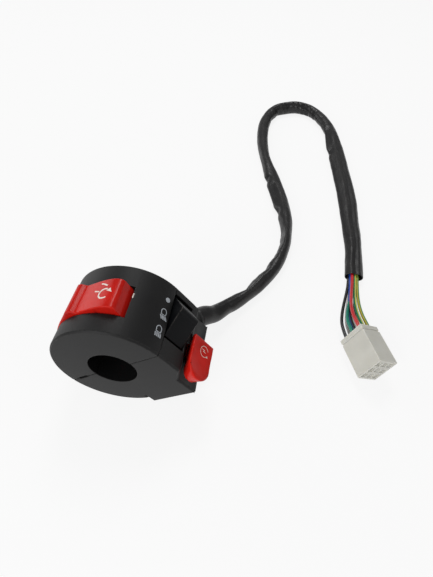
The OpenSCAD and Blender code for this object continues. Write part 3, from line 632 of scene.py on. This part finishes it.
# convex edges that face the open air
def skinEdges(shape, minAngle):
    shape.normal_update()
    chosen = []
    for edge in shape.edges:
        if len(edge.link_faces) != 2 or not edge.is_convex or edge.calc_face_angle(0) < math.radians(minAngle):
            continue
        out = (edge.link_faces[0].normal + edge.link_faces[1].normal).normalized()
        mid = (edge.verts[0].co + edge.verts[1].co) / 2
        if shellTree.ray_cast(mid + out * openAir["lift"], out, openAir["reach"])[0] is None:
            chosen.append(edge)
    return chosen


# round the outer edges, mark the middle of each rounding to be lightened for wear and a painted highlight, and mark
# the bore for a painted shade
def softened(name, nodeName, finish, bodyName, slotName, width, segments, minAngle, crease):
    shape = cadShape(nodeName)
    layer = shape.verts.layers.float.new("wearAndHighlight")
    deep = shape.verts.layers.float.new("bore")
    edges = skinEdges(shape, minAngle)
    made = bmesh.ops.bevel(shape, geom=edges, offset=width * mm, offset_type="OFFSET", segments=segments,
                           profile=0.5, affect="EDGES", clamp_overlap=False, loop_slide=True)
    rounding = set(made["faces"])
    for vert in made["verts"]:
        if all(face in rounding for face in vert.link_faces):
            vert[layer] = 1.0
    # vertices of the bar's bore are marked for a painted shade
    for vert in shape.verts:
        spot = level(vert.co)
        vert[deep] = float(math.hypot(spot.x, spot.z) < body["barR"] + boreSkin)
    bmesh.ops.triangulate(shape, faces=[f for f in shape.faces if len(f.verts) > 4], ngon_method="BEAUTY")
    piece = dress(name, toMesh(name, shape), finishes[finish], bodyName, crease)
    even = piece.modifiers.new("evenNormals", "WEIGHTED_NORMAL")
    even.keep_sharp = True
    even.weight = 80
    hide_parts(nodeName)
    return piece


# node, finish, body, slot, width of the rounding, segments, least angle of an edge, crease
rounded = {"upperShell": ("upper_housing", "housing", "housing", "black_plastic", 0.28, 2, 24, 32),
           "lowerShell": ("lower_housing", "housing", "housing", "black_plastic", 0.28, 2, 24, 32),
           "killCap": ("kill_rocker", "red", "kill_rocker", "red_plastic", 0.5, 3, 40, 40),
           "lightKnob": ("light_rocker", "knob", "light_rocker", "black_knob", 0.4, 3, 30, 38),
           "startCap": ("start_button", "red", "start_button", "red_plastic", 0.55, 3, 36, 40),
           "plugShell": ("connector_housing", "nylon", "housing", "nylon_ivory", 0.2, 2, 40, 34)}
shaped = {name: softened(name, *settings) for name, settings in rounded.items()}
upperShell, killCap = shaped["upperShell"], shaped["killCap"]
startCap, plugShell = shaped["startCap"], shaped["plugShell"]
print("shells, rockers, button and plug rounded")


# a tree of geometry nodes with named inputs
class Tree:
    def __init__(self, name, inputs):
        self.group = bpy.data.node_groups.new(name, "GeometryNodeTree")
        face = self.group.interface
        face.new_socket("Geometry", in_out="OUTPUT", socket_type="NodeSocketGeometry")
        self.keys = {}
        for key, kind in {"Geometry": "Geometry", **inputs, "Finish": "Material"}.items():
            self.keys[key] = face.new_socket(key, in_out="INPUT", socket_type="NodeSocket" + kind).identifier
        self.inputs = self.group.nodes.new("NodeGroupInput")

    def node(self, kind, links):
        return addNode(self.group, kind, None, links).outputs[0]

    def take(self, key):
        return self.inputs.outputs[key]

    # turn, place, realize and paint what the tree made
    def close(self, geometry):
        turn = self.node("FunctionNodeEulerToRotation", {0: self.take("Turn")})
        placed = self.node("GeometryNodeTransform", {"Geometry": geometry, "Translation": self.take("Place"),
                                                     "Rotation": turn})
        whole = self.node("GeometryNodeRealizeInstances", {"Geometry": placed})
        painted = self.node("GeometryNodeSetMaterial", {"Geometry": whole, "Material": self.take("Finish")})
        addNode(self.group, "NodeGroupOutput", None, {"Geometry": painted})

    # a plain mesh of what the tree makes from a base mesh
    def grow(self, name, base, **values):
        holder = bpy.data.objects.new(name + "Base", base)
        scene.collection.objects.link(holder)
        modifier = holder.modifiers.new("grow", "NODES")
        modifier.node_group = self.group
        for key, value in values.items():
            modifier[self.keys[key]] = value
        depsgraph = bpy.context.evaluated_depsgraph_get()
        mesh = bpy.data.meshes.new_from_object(holder.evaluated_get(depsgraph))
        mesh.name = name
        holder.modifiers.remove(modifier)
        bpy.data.objects.remove(holder)
        return mesh


# a wound spring
coilTree = Tree("coil", {"Turns": "Float", "Radius": "Float", "Wire": "Float", "Height": "Float",
                         "Place": "Vector", "Turn": "Vector"})
spiral = coilTree.node("GeometryNodeCurveSpiral", {
    "Resolution": 28, "Rotations": coilTree.take("Turns"), "Start Radius": coilTree.take("Radius"),
    "End Radius": coilTree.take("Radius"), "Height": coilTree.take("Height")})
profile = coilTree.node("GeometryNodeCurvePrimitiveCircle", {"Resolution": 10, "Radius": coilTree.take("Wire")})
coilTree.close(coilTree.node("GeometryNodeCurveToMesh", {"Curve": spiral, "Profile Curve": profile,
                                                         "Fill Caps": True}))

# the base mesh at each point of a grid
gridTree = Tree("gridCopies", {"Across": "Float", "Up": "Float", "Columns": "Int", "Rows": "Int",
                               "Place": "Vector", "Turn": "Vector"})
grid = gridTree.node("GeometryNodeMeshGrid", {
    "Size X": gridTree.take("Across"), "Size Y": gridTree.take("Up"), "Vertices X": gridTree.take("Columns"),
    "Vertices Y": gridTree.take("Rows")})
gridTree.close(gridTree.node("GeometryNodeInstanceOnPoints", {"Points": grid,
                                                              "Instance": gridTree.take("Geometry")}))

# the base mesh at the two ends of a line
pairTree = Tree("pairCopies", {"First": "Vector", "Step": "Vector", "Place": "Vector", "Turn": "Vector"})
pair = pairTree.node("GeometryNodeMeshLine", {"Count": 2, "Start Location": pairTree.take("First"),
                                              "Offset": pairTree.take("Step")})
pairTree.close(pairTree.node("GeometryNodeInstanceOnPoints", {"Points": pair,
                                                              "Instance": pairTree.take("Geometry")}))


# one solid of a CAD node that has several, seen from its own place, with its edges eased
def oneSolid(nodeName, back, near, width):
    shape = cadShape(nodeName)
    bmesh.ops.transform(shape, matrix=back, verts=shape.verts)
    start = min(shape.verts, key=lambda v: (v.co - near).length)
    island, queue = {start}, [start]
    while queue:
        for edge in queue.pop().link_edges:
            for vert in edge.verts:
                if vert not in island:
                    island.add(vert)
                    queue.append(vert)
    bmesh.ops.delete(shape, geom=[v for v in shape.verts if v not in island], context="VERTS")
    edges = [e for e in shape.edges if len(e.link_faces) == 2 and e.is_convex and e.calc_face_angle(0) > 0.7]
    bmesh.ops.bevel(shape, geom=edges, offset=width * mm, offset_type="OFFSET", segments=2, profile=0.5,
                    affect="EDGES", clamp_overlap=True)
    return toMesh(nodeName + "One", shape)


# two equal clamp screws
screws = {"left": (-19.6, 0.0), "right": (17.0, -12.8), "soft": 0.2}
leftScrew, rightScrew = Vector((*screws["left"], 0)) * mm, Vector((*screws["right"], 0)) * mm
screwOne = oneSolid("clamp_screws", Matrix.Translation(-leftScrew) @ levelMat.to_4x4(), Vector((0, 0, 0)),
                    screws["soft"])
screwMesh = pairTree.grow("clampScrews", screwOne, First=leftScrew, Step=rightScrew - leftScrew,
                          Turn=(0.0, -restRoll, 0.0), Finish=finishes["steel"])
clampScrews = dress("clampScrews", screwMesh, finishes["steel"], "housing", 40)
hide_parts("clamp_screws")

# nine terminals in the plug, three across and three up
terminals = {"soft": 0.12, "near": (0.0, 0.0, 0.012)}
gridTurn = connTurn @ Matrix(((0, 0, 1), (1, 0, 0), (0, 1, 0)))
terminalOne = oneSolid("connector_terminals", gridTurn.transposed().to_4x4() @ Matrix.Translation(-connRear * mm),
                       Vector(terminals["near"]), terminals["soft"])
cavities = {"Across": 2 * cavityPitch[0] * mm, "Up": 2 * cavityPitch[1] * mm, "Columns": 3, "Rows": 3,
            "Place": connRear * mm, "Turn": Vector(gridTurn.to_euler())}
terminalMesh = gridTree.grow("plugTerminals", terminalOne, Finish=finishes["tin"], **cavities)
plugTerminals = dress("plugTerminals", terminalMesh, finishes["tin"], "housing", 40)
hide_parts("connector_terminals")

# slotted faces that close the plug's cavities in front
core = {"side": 2.96, "slot": (0.8, 2.0), "from": connector["length"] - 1.5, "to": connector["length"] - 0.45}
verts, faces = [], []
for wide, high in ((core["side"], core["side"]), core["slot"]):
    for z in (core["from"], core["to"]):
        verts += [Vector((x * wide / 2, y * high / 2, z)) * mm for x, y in ((-1, -1), (1, -1), (1, 1), (-1, 1))]
for k in range(4):
    n = (k + 1) % 4
    faces += [(k, n, n + 4, k + 4), (n + 8, k + 8, k + 12, n + 12),
              (k + 4, n + 4, n + 12, k + 12), (n, k, k + 8, n + 8)]
coreMesh = gridTree.grow("plugCores", plainMesh("coreOne", verts, faces), Finish=finishes["nylon"], **cavities)
plugCores = dress("plugCores", coreMesh, finishes["nylon"], "housing", 30)
print("screws, terminals and plug faces repeated")

# where contacts and boards stand on the level drawing
killEnds = [(7.995, 20.4987), (8.397, 19.2086)]
lightBall = {"pivot": (20.5, 2.85), "reach": 6.2, "turn": 125, "pitch": 10}
ringMid, roomY, killBackY, shelfBottom = 19.65, 16.3, 8.6, -15.6
startBoard, startPosts, startAxisY, startAxisZ = (7.7, -9.0), (-6.3, 1.3), -2.5, -22.5


# each contact of the light switch, on a circle round its pivot
def lightSpot(i):
    turn = math.radians(lightBall["turn"]) - math.radians(lightBall["pitch"] * i)
    return [middle + lightBall["reach"] * f(turn) for middle, f in zip(lightBall["pivot"], (math.cos, math.sin))]


# springs: node, turns, radius, wire, length, start on the level drawing, turn there, body
springs = {
    "killContactSpring": ("kill_contact_spring", 3, 0.6, 0.16, 2.7, (killEnds[0][0], 5.08, killEnds[0][1]),
                          Matrix.Rotation(math.pi / 2, 3, "X"), "kill_rocker"),
    "lightContactSpring": ("light_contact_spring", 3, 0.6, 0.16, 2.7, (*lightSpot(0), -10.48),
                           Matrix.Identity(3), "light_rocker"),
    "startReturnSpring": ("start_return_spring", 5, 2.2, 0.3, 7.26, (9.52, startAxisY, startAxisZ),
                          Matrix.Rotation(math.pi / 2, 3, "Y"), "housing"),
}
for name, (nodeName, turns, radius, wire, high, start, turn, bodyName) in springs.items():
    mesh = coilTree.grow(name, bpy.data.meshes.new(name + "Base"), Turns=float(turns), Radius=radius * mm,
                         Wire=wire * mm, Height=high * mm, Place=lying(*start),
                         Turn=Vector((rollMat @ turn).to_euler()), Finish=finishes["spring"])
    piece = dress(name, mesh, finishes["spring"], bodyName, 60)
    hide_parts(nodeName)
    if nodeName == "start_return_spring":
        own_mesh(piece)
print("springs wound")

# leads inside the body, each from the sleeve's end to its contact
outletSide = outletDir.cross(Vector((0, 0, 1))).normalized()
outletUp = outletSide.cross(outletDir)


def leadLine(a, b, rest):
    start = outletAt - outletDir * body["outletInset"] + outletSide * a + outletUp * b
    points = [start, start - outletDir * 1.5] + [Vector(p) for p in rest]
    return [lying(*p) for p in smoothLine(points, 0.8)]


def killLead(i):
    e, y = killEnds[i], roomY - 2.2 - 1.4 * i
    turns = [math.radians(a) for a in (250, 220, 180, 140, 107, 88)]
    return leadLine(-2.4, 0.4 - 1.4 * i, [outletAt + Vector((-8.5, -4.3 - i, 3.4 - 1.4 * i))]
                    + [(ringMid * math.cos(a), y, ringMid * math.sin(a)) for a in turns]
                    + [(e[0] - 1.6, killBackY + 4 - i, e[1]), (e[0], killBackY + 2.6, e[1]),
                       (e[0], killBackY + 1.5, e[1])])


def lightLead(i):
    x, y = lightSpot(i)
    return leadLine(1.2, 2.2 - 1.2 * i, [(x, y + 1.2, shelfBottom - 2.7 - 1.1 * i),
                                         (x, y, shelfBottom - 2 - 1.1 * i), (x, y, shelfBottom - 1.2)])


def startLead(i):
    x, y = startBoard[0], startPosts[1 - i]
    return leadLine(-1.2 + 1.4 * i, -2.2 - 0.4 * i,
                    [outletAt + Vector((-5.1 + 0.2 * i, -8 - 1.1 * i, -0.2 - 1.6 * i)),
                     (x - 1.8 - i, startBoard[1] + 16.5 - i, outletAt.z - 1.6 - 1.6 * i),
                     (x - 3.6 - 0.6 * i, y + 2, startAxisZ - 1.6), (x - 3.4, y, startAxisZ),
                     (x - 1.4, y, startAxisZ)])


# node, route, count, radius, colour, slot
innerLeads = {"killLeads": ("kill_leads", killLead, 2, 0.5, (0.62, 0.60, 0.55), "lead_white"),
              "lightLeads": ("light_leads", lightLead, 3, 0.42, (0.55, 0.42, 0.05), "lead_yellow"),
              "startLeads": ("start_leads", startLead, 2, 0.5, (0.40, 0.02, 0.02), "lead_red")}
for name, (nodeName, route, count, radius, tone, slotName) in innerLeads.items():
    tubes = [roundTube(name + str(i), route(i), radius * mm, 12) for i in range(count)]
    piece = dress(name, toMesh(name, merged(tubes)), wirePaint(name + "Vinyl", tone), "housing", 60)
    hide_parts(nodeName)
print("inner leads laid")

# rubber sleeve in the outlet: distance along it and radius, round the outside and back inside
boot = {"sides": 48,
        "profile": [(-5.2, 4.35), (-5.0, 4.7), (-4.6, 4.75), (4.2, 4.75), (4.7, 4.85), (4.95, 5.2), (5.15, 5.33),
                    (5.6, 5.36), (6.05, 5.33), (6.25, 5.2), (6.5, 4.9), (6.9, 4.75), (7.6, 4.72), (7.8, 4.58),
                    (8.2, 4.58), (8.4, 4.7), (9.2, 4.68), (9.4, 4.54), (9.8, 4.54), (10.0, 4.64), (11.5, 4.55),
                    (11.9, 4.42), (12.0, 4.2), (11.8, 4.06), (11.0, 4.03), (-5.0, 4.03)]}
verts, faces = [], []
count, sides = len(boot["profile"]), boot["sides"]
for i, (along, radius) in enumerate(boot["profile"]):
    a, b = i * sides, (i + 1) % count * sides
    for k in range(sides):
        turn = math.tau * k / sides
        spot = outletAt + outletDir * along + (outletSide * math.cos(turn) + outletUp * math.sin(turn)) * radius
        verts.append(lying(*spot))
        faces.append((a + k, b + k, b + (k + 1) % sides, a + (k + 1) % sides))
bootMesh = closedMesh("cableBoot", verts, faces)
cableBoot = dress("cableBoot", bootMesh, finishes["rubber"], "housing", 50)
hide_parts("cable_boot")

# CAD pieces inside that keep their shape
for nodeName, finish in {"kill_pivot_pin": "pin", "light_pivot_pin": "pin", "kill_contact_board": "board",
                         "light_contact_board": "board", "start_contact_board": "board", "kill_contacts": "brass",
                         "light_contacts": "brass", "start_contacts": "brass", "start_contact_bridge": "brass",
                         "kill_contact_ball": "pin", "light_contact_ball": "pin",
                         "start_retaining_clip": "spring"}.items():
    for place in nodes[nodeName].material_slots:
        place.material = finishes[finish]
print("inner pieces painted")


# printed marks: ink laid on a piece, drawn in millimetres on a flat patch with two axes, with the film's top
# and bottom, the spacing of its points, and where the ray to the skin starts and ends
inkFilm = {"high": 0.04, "deep": -0.08, "step": 0.35, "above": 0.005, "reach": 0.012, "rims": (0.1, 0.4, 0.7, 1.0)}


def arc(x, y, radius, start, stop, squash=1.0):
    count = max(4, round(abs(stop - start) / 12))
    turns = [math.radians(start + (stop - start) * k / count) for k in range(count + 1)]
    return [(x + radius * math.cos(t), y + radius * math.sin(t) * squash) for t in turns]


def finer(points):
    out = [Vector(points[0])]
    for a, b in zip(points, points[1:]):
        a, b = Vector(a), Vector(b)
        count = max(1, math.ceil((b - a).length / inkFilm["step"]))
        out += [a.lerp(b, (k + 1) / count) for k in range(count)]
    return out


def inkMark(name, target, centre, right, up, strokes, blobs, bodyName, ink="greyInk"):
    skin, high, deep = rayTree([target.data]), inkFilm["high"], inkFilm["deep"]
    across, along = (rollMat @ Vector(right)).normalized(), (rollMat @ Vector(up)).normalized()
    out = across.cross(along)
    verts, faces = [], []

    def lay(u, v, lift):
        spot = lying(*centre) + (across * u + along * v) * mm
        hit = skin.ray_cast(spot + out * inkFilm["above"], -out, inkFilm["reach"])[0] or spot
        verts.append(hit + out * lift * mm)
        return len(verts) - 1

    for points, width in strokes:
        line = finer(points)
        rows = []
        for i, p in enumerate(line):
            ahead = (line[min(i + 1, len(line) - 1)] - line[max(i - 1, 0)]).normalized()
            side = Vector((-ahead.y, ahead.x)) * width / 2
            rows.append([lay(*(p + side), high), lay(*(p - side), high), lay(*(p - side), deep),
                         lay(*(p + side), deep)])
        for a, b in zip(rows, rows[1:]):
            for k in range(4):
                faces.append((a[k], b[k], b[(k + 1) % 4], a[(k + 1) % 4]))
        faces.append(tuple(rows[0]))
        faces.append(tuple(reversed(rows[-1])))
    for points in blobs:
        middle = sum((Vector(p) for p in points), Vector((0, 0))) / len(points)
        rim = finer(list(points) + [points[0]])[:-1]
        loops = [[middle.lerp(p, t) for p in rim] for t in inkFilm["rims"]]
        tops = [[lay(*p, high) for p in loop] for loop in loops]
        base = [lay(*p, deep) for p in loops[-1]]
        n = len(rim)
        faces += [tuple(tops[0]), tuple(reversed(base))]
        for a, b in zip(tops, tops[1:] + [base]):
            faces += [(a[k], b[k], b[(k + 1) % n], a[(k + 1) % n]) for k in range(n)]
    dress(name, closedMesh(name, verts, faces), finishes[ink], bodyName, 30)


# signs on the round body beside the light switch: place along the bar, slant of the rays, angle above the seam
lampSigns = {"stroke": 0.38, "ray": 0.6, "rise": 7.4, "dotAt": 8.4, "dotR": 1.2, "dotRise": 6.9,
             "lowLampSign": (1.4, 0.9), "highLampSign": (-7.5, 0.25)}


def onRound(y, rise):
    a = math.radians(rise)
    r = body["roundR"]
    return (r * math.cos(a), y, r * math.sin(a)), (0, 1, 0), (-math.sin(a), 0, math.cos(a))


def lampStrokes(slant):
    bowl = [(-1.3, -1.2), (-1.3, 1.2)] + arc(0.2, 0, 1.6, 115, -115, 0.85) + [(-1.3, -1.2)]
    rays = [[(-1.75, v), (-3.6, v - slant)] for v in (-1.35, -0.45, 0.45, 1.35)]
    return [(bowl, lampSigns["stroke"])] + [(points, lampSigns["ray"]) for points in rays]


for name in ("lowLampSign", "highLampSign"):
    y, slant = lampSigns[name]
    inkMark(name, upperShell, *onRound(y, lampSigns["rise"]), lampStrokes(slant), [], "housing")
inkMark("offDot", upperShell, *onRound(lampSigns["dotAt"], lampSigns["dotRise"]), [],
        [arc(0, 0, lampSigns["dotR"], 0, 345)], "housing")

# run sign on the red rocker: an open ring with an arrow, a dash and a short outer arc
runSign = {"at": (15.9, -1.5, 27.3), "ring": 2.5, "stroke": 0.72}
inkMark("runSign", killCap, runSign["at"], (1, 0, 0), (0, 1, 0),
        [(arc(0, 0, runSign["ring"], 66, 308), runSign["stroke"]), ([(-5.7, 2.4), (-2.9, 1.5)], 0.62),
         ([(-3.4, 6.0), (-1.7, 5.4), (0.3, 4.3)], 0.65)],
        [[(2.3, 2.8), (0.7, 1.5), (3.2, 0.5)]], "kill_rocker", "paleInk")

# start sign on the red button: a ring with an arrow round a bolt
startSign = {"at": (31.6, -3.9, -22.4), "ring": 2.55, "stroke": 0.22}
inkMark("startSign", startCap, startSign["at"], (0, 0, -1), (0, 1, 0),
        [(arc(0, 0, startSign["ring"], 24, 326), startSign["stroke"]),
         ([(-1.6, 0.75), (0.2, 0.6), (-0.7, -0.15), (1.1, -0.2)], startSign["stroke"])],
        [[(1.5, -2.1), (2.9, -2.0), (2.5, -1.0)]], "start_button", "paleInk")

# short pale dash beside the rocker's end
rockerEndDash = {"rise": 38.2, "at": 2.5, "half": 1.25, "wide": 0.45}
inkMark("rockerEndDashMark", upperShell, *onRound(rockerEndDash["at"], rockerEndDash["rise"]),
        [([(-rockerEndDash["half"], 0), (rockerEndDash["half"], 0)], rockerEndDash["wide"])], [], "housing", "paleInk")
print("signs printed")

# the length of every cord, worked out and rounded
harnessLine = [p * mm for p in sheathLine]
round(lineLength(harnessLine), 3)
for piece, line in wirePieces:
    round(lineLength(line), 3)

# pale floor that stays white to the eye and keeps a shadow
stage = {"half": 3.0, "white": 0.86, "bounce": 0.8, "sky": 0.3}
floorPaint = Paint("paleFloor")
rays = addNode(floorPaint.tree, "ShaderNodeLightPath").outputs
camRay, glossRay, throughRay = (Value(floorPaint, rays["Is " + kind + " Ray"])
                                for kind in ("Camera", "Glossy", "Transmission"))
seen = camRay + glossRay + throughRay
cloth = floorPaint.node("ShaderNodeBsdfDiffuse", None, {"Color": (stage["bounce"],) * 3 + (1,)})
glow = floorPaint.node("ShaderNodeEmission", None, {"Color": (1, 1, 1, 1), "Strength": 1.0})
floorPaint.show(floorPaint.node("ShaderNodeMixShader", None, {0: seen * stage["white"], 1: cloth, 2: glow}))
corners = [(x * stage["half"], y * stage["half"], tableZ * mm) for x, y in ((-1, -1), (1, -1), (1, 1), (-1, 1))]
floorMesh = plainMesh("floor", corners, [(0, 1, 2, 3)])
floorMesh.materials.append(floorPaint.material)
floor = bpy.data.objects.new("floor", floorMesh)
scene.collection.objects.link(floor)

# sky that is white to the eye and dimmer as a light
world = bpy.data.worlds.new("studio")
scene.world = world
world.use_nodes = True
sky = world.node_tree
sky.nodes.clear()
rays = addNode(sky, "ShaderNodeLightPath").outputs
most = addNode(sky, "ShaderNodeMath", {"operation": "MAXIMUM"},
               {0: rays["Is Camera Ray"], 1: rays["Is Transmission Ray"]})
strength = addNode(sky, "ShaderNodeMapRange", None,
                   {"Value": most.outputs[0], "To Min": stage["sky"], "To Max": 1.0})
back = addNode(sky, "ShaderNodeBackground", None,
               {"Color": (1, 1, 1, 1), "Strength": strength.outputs["Result"]})
addNode(sky, "ShaderNodeOutputWorld", None, {"Surface": back.outputs["Background"]})

# square lamps: place, size, power
lamps = {"key": ((-0.28, -0.62, 0.38), 0.5, 3.5), "over": ((0.0, 0.62, 0.82), 0.34, 3.2),
         "left": ((-0.82, 0.55, 0.28), 0.6, 1.7), "side": ((0.75, -0.1, 0.6), 0.4, 0.6)}
aim = Vector((0.03, 0.03, -0.01))
for name, (place, size, power) in lamps.items():
    light = bpy.data.lights.new(name, "AREA")
    light.shape = "SQUARE"
    light.size = size
    light.energy = power
    lamp = bpy.data.objects.new(name, light)
    lamp.location = place
    lamp.rotation_euler = (aim - Vector(place)).to_track_quat("-Z", "Y").to_euler()
    scene.collection.objects.link(lamp)
print("stage lit")
